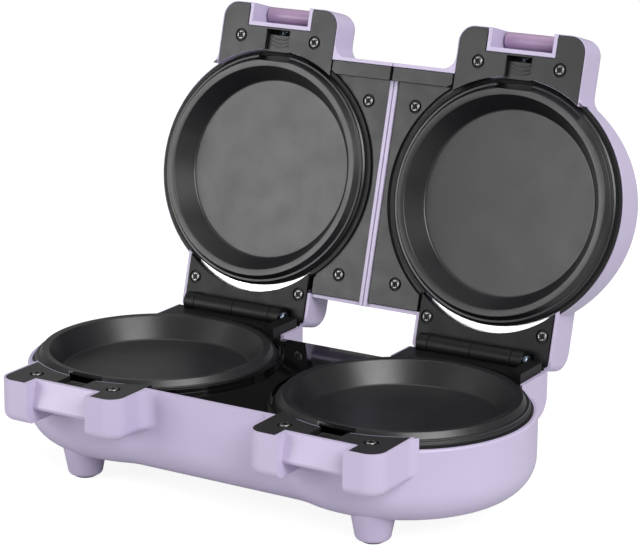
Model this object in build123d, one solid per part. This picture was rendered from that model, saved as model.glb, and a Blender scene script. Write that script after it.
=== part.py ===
from build123d import *
import math
import os

# Twin round-plate breakfast sandwich maker, in millimetres, lids open.
# Pieces are drawn with both lids closed: z = 0 is the parting plane where the
# plates meet, y = 0 runs through both plate centres and x = 0 is the middle.
# The lids are then swung open about their hinge pins, and everything is moved
# so that the origin lies on the table, under the middle of the object.

# ---------------------------------------------------------------- cooking plates
plate_radius = 70.0
plate_gap = 0.15               # rim, back from the parting plane
plate_opening_inset = 7.6      # pan's opening, in from the rim
plate_opening_depth = 2.4
pan_floor_inset = 7.4          # pan's floor, in from its opening
pan_depth = 13.4
plate_thickness = 2.2
rim_bead_width = 2.6
rim_bead_round = 0.6
rim_step = 0.8
skirt_depth = 6.8
skirt_bead = 1.0
skirt_bead_height = 2.2
skirt_bead_slope = 0.8
skirt_thickness = 2.0
tab_left = 13.5                # notch for the release slider, left of centre
tab_right = 9.3
tab_depth = 4.6

# ---------------------------------------------------------------- walls and outline
base_wall = 2.4
lid_wall = 2.2
well_clearance = 1.6           # from a plate's skirt bead to its well
bridge_half_width = 9.65       # from the middle to each well
front_flat = 5.1               # base's straight front wall, in from the round ends
back_flat = 5.0                # base's straight back wall
lid_front_flat = 2.0
lid_back_flat = 1.7
base_depth = 52.0              # parting plane down to the base's underside
lid_crown_height = 35.0        # parting plane up to the top of a lid's crown
lid_crown_radius = 181.0       # the crown bends front to back
lid_crown_y = -2.0
lid_open_angle = 105.0
lid_split = 0.6                # gap between the two lids
rim_drop = 7.5                 # round ends' rims, back from the parting plane
face_gap = 0.6                 # latch blocks' faces, back from the parting plane
mid_rib_z = 5.5                # lids' walls along the middle, back from the parting plane
bottom_round = 19.0
rim_round = 1.2
rim_seat = 1.5                 # how far the front strip reaches down into the rim's round
lid_round = 8.0
bridge_blend = 18.0            # where the straight walls run into the round ends

well_radius = plate_radius + skirt_bead + well_clearance
shell_radius = well_radius + base_wall
half_spacing = well_radius + bridge_half_width
front_wall_y = shell_radius - front_flat
base_back_y = shell_radius - back_flat
lid_front_y = shell_radius - lid_front_flat
lid_back_y = shell_radius - lid_back_flat
plate_opening_radius = plate_radius - plate_opening_inset
pan_floor_radius = plate_opening_radius - pan_floor_inset

# ---------------------------------------------------------------- wells
ledge_width = 3.6
ledge_root = 0.6               # ledge's bite into the wall round the well
ledge_thickness = 2.5
base_seam = 14.0               # the tub's upper band ends here, under the ledges
reflector_flange_z = 9.5       # seat of the reflector's flange on its ledge
reflector_thickness = 0.8
reflector_clearance = 0.3
reflector_flange_width = 5.0
reflector_floor_inset = 20.0   # dish's floor, in from the well
reflector_floor_z = 23.5
reflector_corner = 0.45        # dish's inner corners, out from its outer ones
tongue_half_width = 38.0       # bright tongue of the reflector, at the hinge
tongue_reach = 2.5             # how far the tongue runs on under the hinge plate
heater_ring_inset = 12.0       # ring's centre line, in from the pan's floor
heater_tube_radius = 3.3
heater_gap = 0.4               # heater's top to the plate's underside
heater_open_angle = 40.0
heater_leg_out = 21.0          # cold ends, out from the ring
heater_pin_radius = 1.2
heater_pin_length = 5.0
heater_hole_clearance = 0.4
thermostat_radius = 8.5
thermostat_height = 6.5
thermostat_cap_radius = 6.0
thermostat_cap_height = 2.5
tag_width = 5.0
tag_thickness = 0.8
tag_length = 4.0
tag_root = 0.5
tag_spacing = 9.0

heater_ring_radius = pan_floor_radius - heater_ring_inset
heater_leg_end = heater_ring_radius + heater_leg_out
reflector_floor_radius = well_radius - reflector_floor_inset

# ---------------------------------------------------------------- latch blocks
block_half_width = 41.0
block_reach = 22.5             # base's blocks, out from the round ends' front
lid_block_reach = 25.0
block_corner = 10.0
block_blend = 8.0              # where a block's sides run into the shell
block_depth = 25.0             # height of the base's blocks
block_height = 28.0            # height of the lids' blocks
block_round = 5.0
lid_block_start_y = 48.0       # where a lid's block comes out of the crown
block_floor = 4.0
notch_half_width = 19.9
notch_reach = 13.7             # notch's floor, out from the round ends' front
notch_rim = 2.8                # coloured rim round the notch, beside the cover
catch_slope = 1.6              # catch's nose, out from the notch's floor
catch_nose_radius = 2.15
catch_nose_z = 15.2
catch_wall = 1.5
catch_undercut = 1.5           # finger space under the nose, back to here
catch_bite = 0.5
lobe_wall = 2.2
cover_thickness = 2.0
base_cover_inset = 1.5         # cover's edge, in from the block's outside
lid_cover_inset = 0.8
rebate_gap = 0.3
cover_screw_x = 26.35
cover_screw_reach = 4.5

block_front_y = shell_radius + block_reach
lid_block_front_y = shell_radius + lid_block_reach
notch_floor_y = shell_radius + notch_reach
catch_nose_y = notch_floor_y + catch_slope
catch_under_z = catch_nose_z + catch_nose_radius
catch_undercut_y = shell_radius + catch_undercut
cover_screw_y = shell_radius + cover_screw_reach

# ---------------------------------------------------------------- screws
screw_head_radius = 2.9
screw_head_height = 1.6
screw_head_round = 0.7
screw_shank_radius = 1.3
screw_length = 8.0
screw_clearance = 0.05
screw_sink_radius = 4.1
screw_sink_depth = 1.0
cross_width = 0.8
cross_length = 3.4
cross_depth = 1.0
boss_radius = 3.6
boss_hole_extra = 2.0

# ---------------------------------------------------------------- plate releases
release_travel = 2.5
release_clearance = 0.3
release_half_width = 8.0
release_length = 10.2
release_top_drop = 3.0         # slider's top, below the block's face
release_top_thickness = 2.4
release_heel_half_width = 6.5
release_heel_setback = 2.0     # heel, back from the slider's inner end
release_heel_length = 5.8
release_heel_depth = 9.6       # heel's underside, below the block's face
chute_wall = 0.8               # the cover's black chute round the slider
chute_setback = 0.4            # chute's inner end, out from the well
pocket_clearance = 0.2
rib_count = 3
rib_first = 3.2                # first rib, from the slider's inner end
rib_pitch = 2.2
rib_height = 0.5
rib_width = 0.7
rib_bow_radius = 13.0
rib_margin = 0.8
rib_root = 0.2
spring_radius = 1.4
spring_wire = 0.35
spring_turns = 5.0
spring_end_gap = 0.1

release_front_y = plate_radius + skirt_bead + 2 * release_clearance
release_back_y = release_front_y + release_length
release_heel_front_y = release_front_y + release_heel_setback
release_heel_back_y = release_heel_front_y + release_heel_length
release_pocket_back_y = release_back_y + release_travel + 2 * release_clearance
chute_front_y = well_radius + chute_setback
chute_floor_z = face_gap + release_heel_depth + release_clearance

# ---------------------------------------------------------------- latches
latch_axis_reach = 19.8        # out from the round ends' front
latch_axis_z = 20.0
latch_barrel_radius = 5.0
latch_barrel_clearance = 1.4
latch_pin_radius = 1.6
latch_pin_grip = 4.5
latch_pin_end_gap = 0.2
latch_bore_clearance = 0.06
latch_arm_half_width = 16.0
latch_arm_gap = 0.55           # from the catch's nose to the arm
latch_arm_thickness = 3.4
latch_hook_gap = 0.4
latch_hook_reach = 3.4
latch_hook_height = 3.0
latch_hook_nose = 1.2
latch_hook_root = 0.8
latch_thumb_length = 4.5
latch_thumb_reach = 2.6
latch_fold_angle = 195.0

latch_axis_y = shell_radius + latch_axis_reach
latch_arm_inner_y = catch_nose_y + catch_nose_radius + latch_arm_gap

# ---------------------------------------------------------------- hinges
hinge_reach = 13.0             # hinge axis, out from the round ends' back
hinge_z = 0.0
hinge_barrel_radius = 5.8
hinge_pin_radius = 2.5
hinge_press_clearance = 0.02
hinge_running_clearance = 0.06
hinge_head_radius = 3.6
hinge_head_height = 2.5
hinge_head_round = 1.0
hinge_pin_end_gap = 0.4
hinge_clearance = 0.5          # around a barrel, in the piece that turns on it
hinge_end_gap = 0.4
hinge_knuckle_edges = (-37.5, -29.9, -1.9, 24.1, 31.5)
hinge_block_half_width = 45.5
hinge_fit = 0.3                # black hinge blocks, in from their housings
housing_back_lap = 1.0         # base's hinge housing, out past the hinge axis
housing_top = 4.0
housing_depth = 30.0
housing_round = 12.0
lid_housing_back_lap = 4.5
lid_housing_height = 31.0
lid_housing_start_y = 30.0     # where a lid's housing comes out of the crown
lid_housing_round = 4.0
lid_housing_drop = 5.8
hinge_edge_inset = 3.4         # hinge plates' curved edge, out from the well
hinge_edge_radius = 63.5
plinth_top = -3.0
cheek_top = 1.5                # the higher cheek, beside the pin's head
plinth_under = 8.6
bracket_z = 4.8
bracket_thickness = 2.4
bracket_screw_x = 37.7
bracket_screw_setback = 15.1   # in from the hinge axis
plinth_screw_x = 36.0
plinth_screw_setback = 9.0
plinth_screw_grip = 5.0
plinth_boss_radius = 5.6

hinge_y = shell_radius + hinge_reach
base_housing_back_y = hinge_y + housing_back_lap
lid_housing_back_y = hinge_y + lid_housing_back_lap
hinge_edge_y = well_radius + hinge_edge_inset
bracket_screw_y = hinge_y - bracket_screw_setback
plinth_screw_y = hinge_y - plinth_screw_setback
plinth_screw_face = -plinth_under + plinth_screw_grip - screw_length - screw_sink_depth

# ---------------------------------------------------------------- deck and lid frame
deck_top = 6.0
deck_thickness = 2.5
deck_gap = 0.3
collar_width = 1.7
collar_top = 3.4
front_strip_width = 9.0
front_strip_top = 4.2
frame_recess = 6.4
frame_thickness = 2.0
frame_arc_inset = 3.9          # frame's round edge, out from the well
frame_step_thickness = 1.0     # sunken step between that edge and the well
frame_bar_width = 10.5
frame_bar_gap = 0.95           # bar's end, from the middle
frame_end_inset = 10.0         # frame's outer end, in from the plate's centre
frame_screw_front_x = 6.35     # frame's screws, from the middle of the bridge
frame_screw_front_setback = 26.1
frame_screw_back_x = 9.85
frame_screw_back_setback = 17.8
light_radius = 3.0
light_flange_radius = 3.9
light_flange_height = 0.8
light_flange_round = 0.55
light_stem_depth = 3.0
light_offset_x = 9.0
light_angle = 13.0             # round the crown, from its top

frame_screw_front = (bridge_half_width + frame_screw_front_x, -(shell_radius - frame_screw_front_setback))
frame_screw_back = (bridge_half_width + frame_screw_back_x, shell_radius - frame_screw_back_setback)

# ---------------------------------------------------------------- feet and inlet
front_foot_out = 13.25         # outwards from a plate's centre
front_foot_back = 21.7         # back from the round ends' front
rear_foot_out = -0.25
rear_foot_back = 16.0          # in from the hinge axis, so that open lids don't tip it
foot_top_radius = 13.2
foot_bottom_radius = 9.6
foot_sink = 6.0                # how far a foot runs up beside the body
foot_wall = 2.5
foot_bottom_round = 2.8
foot_height = 14.2             # underside down to the table
pad_radius = 6.6
pad_stand = 1.2
pad_round = 0.6
pad_stem_radius = 4.0
pad_stem_height = 4.0
pad_clearance = 0.05
pad_end_gap = 0.3
inlet_z = 23.0
inlet_bore_radius = 3.6
bush_radius = 6.0
bush_flange_radius = 8.5
bush_flange_thickness = 2.0
bush_inner_length = 5.0
bush_inner_step = 1.2
bush_clearance = 0.1
terminal_width = 30.0
terminal_depth = 12.0
terminal_height = 9.0
terminal_setback = 28.0        # in from the back wall
terminal_slot = 3.2
terminal_sill = 2.5
terminal_screw_radius = 1.6
terminal_screw_bite = 0.5
terminal_ways = 4
wire_radius = 1.1
wire_bend = 6.0
wire_gap = 0.3

table_z = base_depth + foot_height
front_foot_x = half_spacing + front_foot_out
front_foot_y = shell_radius - front_foot_back
rear_foot_x = half_spacing + rear_foot_out
rear_foot_y = hinge_y - rear_foot_back
terminal_y = base_back_y - terminal_setback

# ---------------------------------------------------------------- cutting shapes
beyond = 10.0                  # how far a cut runs on past what it cuts
same = 0.01                    # places this near to each other count as one
wide = 2 * (half_spacing + shell_radius)
tall = 2 * (base_depth + lid_crown_height)

sides = {"left": -1, "right": 1}
low = (Align.CENTER, Align.CENTER, Align.MIN)


# ---------------------------------------------------------------- plain shapes
def box(x0, x1, y0, y1, z0, z1):
    """A box between two corners."""
    centre = ((x0 + x1) / 2, (y0 + y1) / 2, (z0 + z1) / 2)
    return Pos(*centre) * Box(abs(x1 - x0), abs(y1 - y0), abs(z1 - z0))


def post(radius, z0, z1, x=0.0, y=0.0):
    """An upright cylinder between two heights."""
    return Pos(x, y, min(z0, z1)) * Cylinder(radius, abs(z1 - z0), align=low)


def bar(radius, x0, x1, y, z):
    """A cylinder lying along X."""
    lying = Rot(Y=90) * Cylinder(radius, abs(x1 - x0), align=low)
    return Pos(min(x0, x1), y, z) * lying


def ring(outer, inner, z0, z1, x=0.0):
    """A flat ring round a plate centre."""
    return post(outer, z0, z1, x) - post(inner, z0 - beyond, z1 + beyond, x)


def slab(sketch, z0, z1):
    """A sketch raised from one height to another."""
    return extrude(Pos(0, 0, min(z0, z1)) * sketch, abs(z1 - z0))


def patch(x0, x1, y0, y1):
    """A flat rectangle between two corners."""
    return Pos((x0 + x1) / 2, (y0 + y1) / 2) * Rectangle(abs(x1 - x0), abs(y1 - y0))


def turned(points, x=0.0):
    """A closed outline of (radius, height) turned about a plate centre."""
    outline = Plane.XZ * make_face(Polyline(*points, close=True))
    return Pos(x, 0, 0) * revolve(outline, Axis.Z)


def profile_along_x(points, x0, x1):
    """A closed outline of (y, z) drawn out along X."""
    outline = Plane.YZ * make_face(Polyline(*points, close=True))
    return Pos(min(x0, x1), 0, 0) * extrude(outline, abs(x1 - x0))


def flipped(piece):
    """The same piece on the other side of the parting plane."""
    return mirror(piece, about=Plane.XY)


# ---------------------------------------------------------------- screws
def screw(x, y, face_z, into=-1):
    """A pan-head screw with a cross recess, driven down (-1) or up (+1)."""
    seat = -screw_sink_depth
    top = seat + screw_head_height
    head = post(screw_head_radius, seat, top)
    head = fillet(head.edges().group_by(Axis.Z)[-1], screw_head_round)
    shank = post(screw_shank_radius, seat - screw_length, seat)
    for turn in (0, 90):
        slot = box(
            -cross_length / 2, cross_length / 2, -cross_width / 2, cross_width / 2, top - cross_depth, top + beyond
        )
        head -= Rot(Z=turn) * slot
    whole = head + shank
    whole = whole if into < 0 else flipped(whole)
    return Pos(x, y, face_z) * whole


def screw_hole(x, y, face_z, into=-1):
    """What a screw takes out of the sheet that it holds down."""
    sink = post(screw_sink_radius, -screw_sink_depth, beyond)
    hole = post(screw_shank_radius + screw_clearance, -screw_sink_depth - screw_length, 0)
    cut = sink + hole
    return Pos(x, y, face_z) * (cut if into < 0 else flipped(cut))


def boss(x, y, z_face, z_root):
    """A screw boss that stands between a wall and the sheet on it."""
    depth = min(screw_length + boss_hole_extra, abs(z_root - z_face) - lid_wall / 2)
    column = post(boss_radius, z_face, z_root, x, y)
    z_end = z_face + math.copysign(depth, z_root - z_face)
    bore = post(screw_shank_radius + screw_clearance, z_face, z_end, x, y)
    return column, bore


# ---------------------------------------------------------------- outlines
def base_outline(inset=0.0):
    """The base from above: two round ends and the straight walls between."""
    front, back = -front_wall_y + inset, base_back_y - inset
    outline = patch(-half_spacing, half_spacing, front, back)
    for side in sides.values():
        outline += Pos(side * half_spacing, 0) * Circle(shell_radius - inset)
    joins = [v for v in outline.vertices() if abs(v.X) < half_spacing]
    return fillet(joins, bridge_blend)


def lid_outline(side, inset=0.0):
    """One lid from above, without its latch block and hinge housing."""
    centre = side * half_spacing
    edge = side * (lid_split / 2 + inset)
    middle = patch(centre, edge, -lid_front_y + inset, lid_back_y - inset)
    return middle + Pos(centre, 0) * Circle(shell_radius - inset)


def with_lug(outline, side, half, end_y, blend, corner=0.0):
    """An outline with a straight-sided lug run smoothly out of it to end_y."""
    centre = side * half_spacing
    sheet = patch(centre - half, centre + half, 0, end_y)
    if corner:
        ends = sheet.vertices().sort_by(lambda v: abs(v.Y))[-2:]
        sheet = fillet(ends, corner)
    whole = outline + sheet
    reach = abs(end_y) - corner - blend / 2
    joins = [v for v in whole.vertices()
             if math.isclose(abs(v.X - centre), half, abs_tol=same) and abs(v.Y) < reach]
    return fillet(joins, blend)


def block_patch(side, front_y, inset=0.0, notch_inset=0.0):
    """A latch block from above, less its notch, back to the plate's centre line."""
    centre = side * half_spacing
    half, front = block_half_width - inset, -front_y + inset
    sheet = patch(centre - half, centre + half, front, 0)
    sheet = fillet(sheet.vertices().group_by(Axis.Y)[0], block_corner - inset)
    notch_half = notch_half_width + notch_inset
    notch = patch(centre - notch_half, centre + notch_half, front - beyond, -notch_floor_y + notch_inset)
    return sheet - notch


def cover_patch(side, front_y, inset, gap=0.0):
    """A cover's outline, grown by the gap round it."""
    sheet = block_patch(side, front_y, inset - gap, notch_rim - gap)
    return sheet - Pos(side * half_spacing, 0) * Circle(well_radius + deck_gap)


def hinge_patch(side, back_y, inset, corner=0.0):
    """A black hinge plate from above, with its curved edge beside the pan."""
    centre = side * half_spacing
    half = hinge_block_half_width - inset
    sheet = patch(centre - half, centre + half, well_radius / 2, back_y)
    if corner:
        sheet = fillet(sheet.vertices().group_by(Axis.Y)[-1], corner)
    sheet -= Pos(centre, hinge_edge_y - hinge_edge_radius) * Circle(hinge_edge_radius)
    return sheet - Pos(centre, 0) * Circle(well_radius + hinge_fit)


# ---------------------------------------------------------------- cooking wells
def plate(side):
    """A removable non-stick pan, open upwards."""
    top = -plate_gap
    floor = top - pan_depth
    under = floor - plate_thickness
    skirt = top - skirt_depth
    lip = top - plate_opening_depth
    bead_in = plate_radius - rim_bead_width
    skirt_in = plate_radius - skirt_thickness
    bead_z = skirt + skirt_bead_height
    points = [
        (0, floor),
        (pan_floor_radius, floor),
        (plate_opening_radius, lip),
        (bead_in - rim_bead_round, top - rim_step),
        (bead_in, top),
        (plate_radius - rim_bead_round, top),
        (plate_radius, top - rim_bead_round),
        (plate_radius, bead_z),
        (plate_radius + skirt_bead, bead_z - skirt_bead_slope),
        (plate_radius + skirt_bead, skirt),
        (skirt_in, skirt),
        (skirt_in, lip - plate_thickness + rim_bead_round),
        (plate_opening_radius + rim_bead_round, lip - plate_thickness),
        (pan_floor_radius + skirt_bead, under),
        (0, under),
    ]
    tab_y = plate_radius - tab_depth
    notch = box(-tab_left, tab_right, -plate_radius - beyond, -tab_y, skirt - beyond, beyond)
    return Pos(side * half_spacing, 0, 0) * (turned(points) - notch)


def reflector(side):
    """A bright pressed dish under the heater, with a tongue at the hinge."""
    outer = well_radius - reflector_clearance
    top = -reflector_flange_z + reflector_thickness
    flange_in = outer - reflector_flange_width
    floor = -reflector_floor_z
    t = reflector_thickness
    points = [
        (0, floor),
        (reflector_floor_radius, floor),
        (flange_in, top),
        (outer, top),
        (outer, top - t),
        (flange_in - reflector_corner, top - t),
        (reflector_floor_radius + reflector_corner, floor - t),
        (0, floor - t),
    ]
    dish = turned(points)
    tongue = Pos(0, hinge_edge_y - hinge_edge_radius) * Circle(hinge_edge_radius + tongue_reach)
    tongue &= patch(-tongue_half_width, tongue_half_width, well_radius / 2, shell_radius + beyond)
    tongue -= Circle(outer - reflector_flange_width / 2)
    dish += slab(tongue, top - t, top)
    hole = heater_tube_radius + heater_hole_clearance
    for y in heater_leg_lines():
        dish -= bar(hole, -side * heater_ring_radius, -side * well_radius, y, heater_z())
    return Pos(side * half_spacing, 0, 0) * dish


def heater_z():
    """The height of the heating ring's centre line, just under the pan."""
    return -plate_gap - pan_depth - plate_thickness - heater_gap - heater_tube_radius


def heater_leg_lines():
    """The two lines that the heater's cold ends run along, as y values."""
    half = math.radians(heater_open_angle / 2)
    return [sign * heater_ring_radius * math.sin(half) for sign in (-1, 1)]


def heater(side):
    """A tubular heating ring with two cold ends out through the reflector."""
    inwards = -side
    start = heater_open_angle / 2 + (180 if inwards < 0 else 0)
    section = Plane.XZ * (Pos(heater_ring_radius, 0) * Circle(heater_tube_radius))
    element = Pos(0, 0, heater_z()) * Rot(Z=start) * revolve(section, Axis.Z, 360 - heater_open_angle)
    elbow = inwards * heater_ring_radius * math.cos(math.radians(heater_open_angle / 2))
    leg_end = inwards * heater_leg_end
    for y in heater_leg_lines():
        element += Pos(elbow, y, heater_z()) * Sphere(heater_tube_radius)
        element += bar(heater_tube_radius, elbow, leg_end, y, heater_z())
        element += bar(heater_pin_radius, leg_end, leg_end + inwards * heater_pin_length, y, heater_z())
    return Pos(side * half_spacing, 0, 0) * element


def thermostat(side):
    """A snap-disc thermostat held against the reflector, with two tags."""
    top = -reflector_floor_z - reflector_thickness
    under = top - thermostat_height
    foot = under - thermostat_cap_height
    body = post(thermostat_radius, under, top) + post(thermostat_cap_radius, foot, under)
    for sign in (-1, 1):
        middle = sign * tag_spacing / 2
        body += box(
            middle - tag_thickness / 2, middle + tag_thickness / 2,
            -tag_width / 2, tag_width / 2, foot - tag_length, foot + tag_root
        )
    return Pos(side * half_spacing, 0, 0) * body


# ---------------------------------------------------------------- plate releases
def release(side):
    """The ribbed slider that lets a plate out, pressed away from the plate."""
    top = -face_gap - release_top_drop
    under = top - release_top_thickness
    heel_z = -face_gap - release_heel_depth
    slider = box(-release_half_width, release_half_width, -release_back_y, -release_front_y, under, top)
    slider += box(
        -release_heel_half_width, release_heel_half_width, -release_heel_back_y, -release_heel_front_y, heel_z, under
    )
    for index in range(rib_count):
        bow = -release_front_y - rib_first - index * rib_pitch
        rib = ring(rib_bow_radius, rib_bow_radius - rib_width, top - rib_root, top + rib_height)
        half = release_half_width - rib_margin
        rib &= box(-half, half, rib_bow_radius / 2, rib_bow_radius + beyond, top - beyond, top + beyond)
        slider += Pos(0, bow - rib_bow_radius + rib_width, 0) * rib
    return Pos(side * half_spacing, 0, 0) * slider


def spring_height():
    """The height of the release spring's centre line, in the base."""
    under = -face_gap - release_top_drop - release_top_thickness
    return (under - face_gap - release_heel_depth) / 2


def release_spring(side):
    """The small coil spring behind a release slider."""
    length = release_pocket_back_y - release_heel_back_y - 2 * spring_end_gap - 2 * spring_wire
    coil = Helix(length / spring_turns, length, spring_radius)
    section = Plane(origin=coil @ 0, z_dir=coil % 0) * Circle(spring_wire)
    wound = sweep(section, path=coil)
    start_y = -release_heel_back_y - spring_end_gap - spring_wire
    return Pos(side * half_spacing, start_y, spring_height()) * (Rot(X=90) * wound)


def release_pocket(side):
    """The room for the cover's chute, from the block's face down."""
    grow = chute_wall + pocket_clearance
    half = release_half_width + release_clearance + grow
    centre = side * half_spacing
    return box(centre - half, centre + half, -release_pocket_back_y - grow, release_clearance - release_front_y,
               -chute_floor_z - grow, beyond)


def latch_cover(side, front_y, inset):
    """The black cover on a latch block, with the chute that the slider runs in."""
    top = -face_gap
    centre = side * half_spacing
    half = release_half_width + release_clearance
    sheet = slab(cover_patch(side, front_y, inset), top - cover_thickness, top)
    sheet += box(
        centre - half - chute_wall, centre + half + chute_wall, -release_pocket_back_y - chute_wall,
        -chute_front_y, -chute_floor_z - chute_wall, top
    )
    sheet -= box(centre - half, centre + half, -release_pocket_back_y, 0, -chute_floor_z, beyond)
    for sign in (-1, 1):
        sheet -= screw_hole(centre + sign * cover_screw_x, -cover_screw_y, top)
    return sheet


# ---------------------------------------------------------------- base
def tub_outside():
    """The outer form of the base's tub, as a plain solid."""
    body = slab(base_outline(), -base_depth, -rim_drop)
    body = fillet(body.edges().group_by(Axis.Z)[0], bottom_round)
    return fillet(body.edges().group_by(Axis.Z)[-1], rim_round)


def tub_inside():
    """The hollow of the base's tub, open at the top."""
    hollow = slab(base_outline(base_wall), -base_depth + base_wall, beyond)
    return fillet(hollow.edges().group_by(Axis.Z)[0], bottom_round - base_wall)


def housing_outside(side):
    """The outer form of the base's hinge housing, with a rounded lower edge."""
    centre = side * half_spacing
    half = hinge_block_half_width
    housing = box(centre - half, centre + half, base_back_y / 2, base_housing_back_y,
                  -housing_depth, -housing_top)
    low_back = housing.edges().filter_by(Axis.X).group_by(Axis.Z)[0].sort_by(Axis.Y)[-1:]
    return fillet(low_back, housing_round)


def housing_inside(side):
    """The hollow of the base's hinge housing, open to the tub."""
    centre = side * half_spacing
    half = hinge_block_half_width - base_wall
    return box(centre - half, centre + half, base_back_y / 2, base_housing_back_y - base_wall,
               -housing_depth + base_wall, beyond)


def hinge_room(x0, x1):
    """The room that a turning hinge knuckle needs."""
    return bar(hinge_barrel_radius + hinge_clearance, x0, x1, hinge_y, hinge_z)


def hinge_span(index, side):
    """The two ends of a hinge knuckle, left to right, along X."""
    centre = side * half_spacing
    trim = hinge_end_gap / 2
    return centre + hinge_knuckle_edges[index] + trim, centre + hinge_knuckle_edges[index + 1] - trim


def tub():
    """The whole coloured tub, with the ledges that the reflectors rest on."""
    inside = tub_inside()
    body = tub_outside()
    span = half_spacing - block_half_width
    body += box(-span, span, -front_wall_y, -front_wall_y + base_wall, -rim_drop - rim_seat, -face_gap)
    body -= inside
    ledge_top = -reflector_flange_z
    for side in sides.values():
        centre = side * half_spacing
        body -= housing_inside(side)
        body += ring(well_radius + ledge_root, well_radius - ledge_width, ledge_top - ledge_thickness, ledge_top,
                     centre)
        body -= post(well_radius, ledge_top, beyond, centre)
        body -= release_pocket(side)
    inlet = Rot(X=90) * Cylinder(bush_radius + bush_clearance, 2 * beyond)
    return body - Pos(0, base_back_y, -inlet_z) * inlet


def base_shell():
    """The tub's floor and walls, up to the seam under the ledges."""
    return tub() & box(-wide, wide, -wide, wide, -tall, -base_seam)


def base_rim():
    """The tub's upper band, with the ledges inside it."""
    return tub() & box(-wide, wide, -wide, wide, -base_seam, tall)


def latch_block(side):
    """A base latch block: two hollow lobes, the slider's pocket and the catch."""
    centre = side * half_spacing
    top = -face_gap
    solid = slab(with_lug(base_outline(), side, block_half_width, -block_front_y, block_blend, block_corner),
                 -block_depth, top)
    solid = fillet(solid.edges().group_by(Axis.Z)[0], block_round)
    solid -= tub_outside()
    keep = slab(block_patch(side, block_front_y), -tall, tall)
    above = slab(base_outline(), -rim_drop - rim_seat, beyond)
    solid -= (above - keep) + tub_inside()
    solid -= post(well_radius, -tall, beyond, centre)
    notch = box(centre - notch_half_width, centre + notch_half_width, -block_front_y - beyond, -notch_floor_y,
                -tall, beyond)
    solid -= notch
    solid -= slab(cover_patch(side, block_front_y, base_cover_inset, rebate_gap), top - cover_thickness, beyond)
    pockets = slab(block_patch(side, block_front_y, lobe_wall), -block_depth + block_floor, beyond)
    inner = notch_half_width + lobe_wall
    pockets -= box(centre - inner, centre + inner, -block_front_y, 0, -tall, tall)
    pockets -= post(shell_radius, -tall, tall, centre)
    solid -= pockets - slab(base_outline(), -tall, tall)
    for sign in (-1, 1):
        column, bore = boss(centre + sign * cover_screw_x, -cover_screw_y, top - cover_thickness,
                            -block_depth + block_floor)
        solid = solid + column - bore
    solid -= box(centre - notch_half_width, centre + notch_half_width, -block_front_y - beyond, -catch_undercut_y,
                 -base_depth, -catch_under_z)
    return solid + catch(side) - release_pocket(side)


def catch(side):
    """The slanted panel and rounded nose that the latch hooks under."""
    root = -notch_floor_y + catch_wall
    points = [
        (root, -face_gap),
        (-notch_floor_y, -face_gap),
        (-catch_nose_y - catch_nose_radius, -catch_nose_z),
        (-catch_nose_y, -catch_under_z),
        (root, -catch_under_z),
    ]
    centre = side * half_spacing
    reach = notch_half_width + catch_bite
    panel = profile_along_x(points, centre - reach, centre + reach)
    return panel + bar(catch_nose_radius, centre - reach, centre + reach, -catch_nose_y, -catch_nose_z)


def hinge_housing(side):
    """The coloured tray behind the tub that the hinge stands in."""
    centre = side * half_spacing
    half = hinge_block_half_width
    tray = housing_outside(side) - tub_outside() - tub_inside() - housing_inside(side)
    tray -= post(well_radius, -tall, beyond, centre)
    tray -= hinge_room(centre - half + base_wall, centre + half - base_wall)
    for sign in (-1, 1):
        x = centre + sign * plinth_screw_x
        tray += post(plinth_boss_radius, -housing_depth + base_wall, -plinth_under, x, plinth_screw_y) & box(
            centre - half, centre + half, base_back_y, base_housing_back_y, -housing_depth, 0)
        tray -= screw_hole(x, plinth_screw_y, plinth_screw_face, into=1)
        tray -= post(screw_sink_radius, -housing_depth - beyond, plinth_screw_face, x, plinth_screw_y)
    return tray


def foot_places():
    """Each foot's place, by name."""
    places = {}
    for name, side in sides.items():
        places[f"front_{name}"] = (side * front_foot_x, -front_foot_y)
        places[f"rear_{name}"] = (side * rear_foot_x, rear_foot_y)
    return places


def feet():
    """Four conical feet that run up against the tub and the hinge housings."""
    sole = -table_z + pad_stand
    group = []
    body = tub_outside()
    for name, (x, y) in foot_places().items():
        root = -base_depth if name.startswith("front") else -housing_depth
        cone = Pos(x, y, sole) * Cone(foot_bottom_radius, foot_top_radius, root + foot_sink - sole, align=low)
        cone = fillet(cone.edges().group_by(Axis.Z)[0], foot_bottom_round)
        cone -= body
        if root > -base_depth:
            cone &= box(-wide, wide, -wide, wide, -tall, root)
            cone -= post(foot_bottom_radius - foot_wall, sole + pad_stem_height + foot_wall, root, x, y)
        cone -= post(pad_stem_radius + pad_clearance, -table_z, sole + pad_stem_height, x, y)
        group.append(cone)
    return group


def foot_pads():
    """Four rubber pads with stems plugged into the feet."""
    floor = -table_z
    group = []
    for x, y in foot_places().values():
        pad = post(pad_radius, floor, floor + pad_stand, x, y)
        pad = fillet(pad.edges().group_by(Axis.Z)[0], pad_round)
        stem_top = floor + pad_stand + pad_stem_height - pad_end_gap
        group.append(pad + post(pad_stem_radius, floor + pad_stand, stem_top, x, y))
    return group


def base_deck():
    """The glossy black top between the wells, with a raised collar."""
    region = base_outline(base_wall + deck_gap)
    for side in sides.values():
        region -= Pos(side * half_spacing, 0) * Circle(well_radius)
    top, under = -deck_top, -deck_top - deck_thickness
    deck = slab(region, under, top)
    middle = box(-half_spacing, half_spacing, -wide, wide, -tall, tall)
    inside = slab(region, under, 0)
    for side in sides.values():
        collar = ring(well_radius + collar_width, well_radius, under, -collar_top, side * half_spacing)
        deck += collar & middle & inside
    strip = slab(region, under, -front_strip_top)
    deck += strip & box(-half_spacing, half_spacing, -wide, -front_wall_y + front_strip_width, -tall, 0)
    for side in sides.values():
        centre = side * half_spacing
        half = hinge_block_half_width + deck_gap
        deck -= box(centre - half, centre + half, base_back_y / 2, wide, -tall, beyond)
        deck -= slab(block_patch(side, block_front_y, -deck_gap, -deck_gap), -tall, beyond)
    return deck


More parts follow.
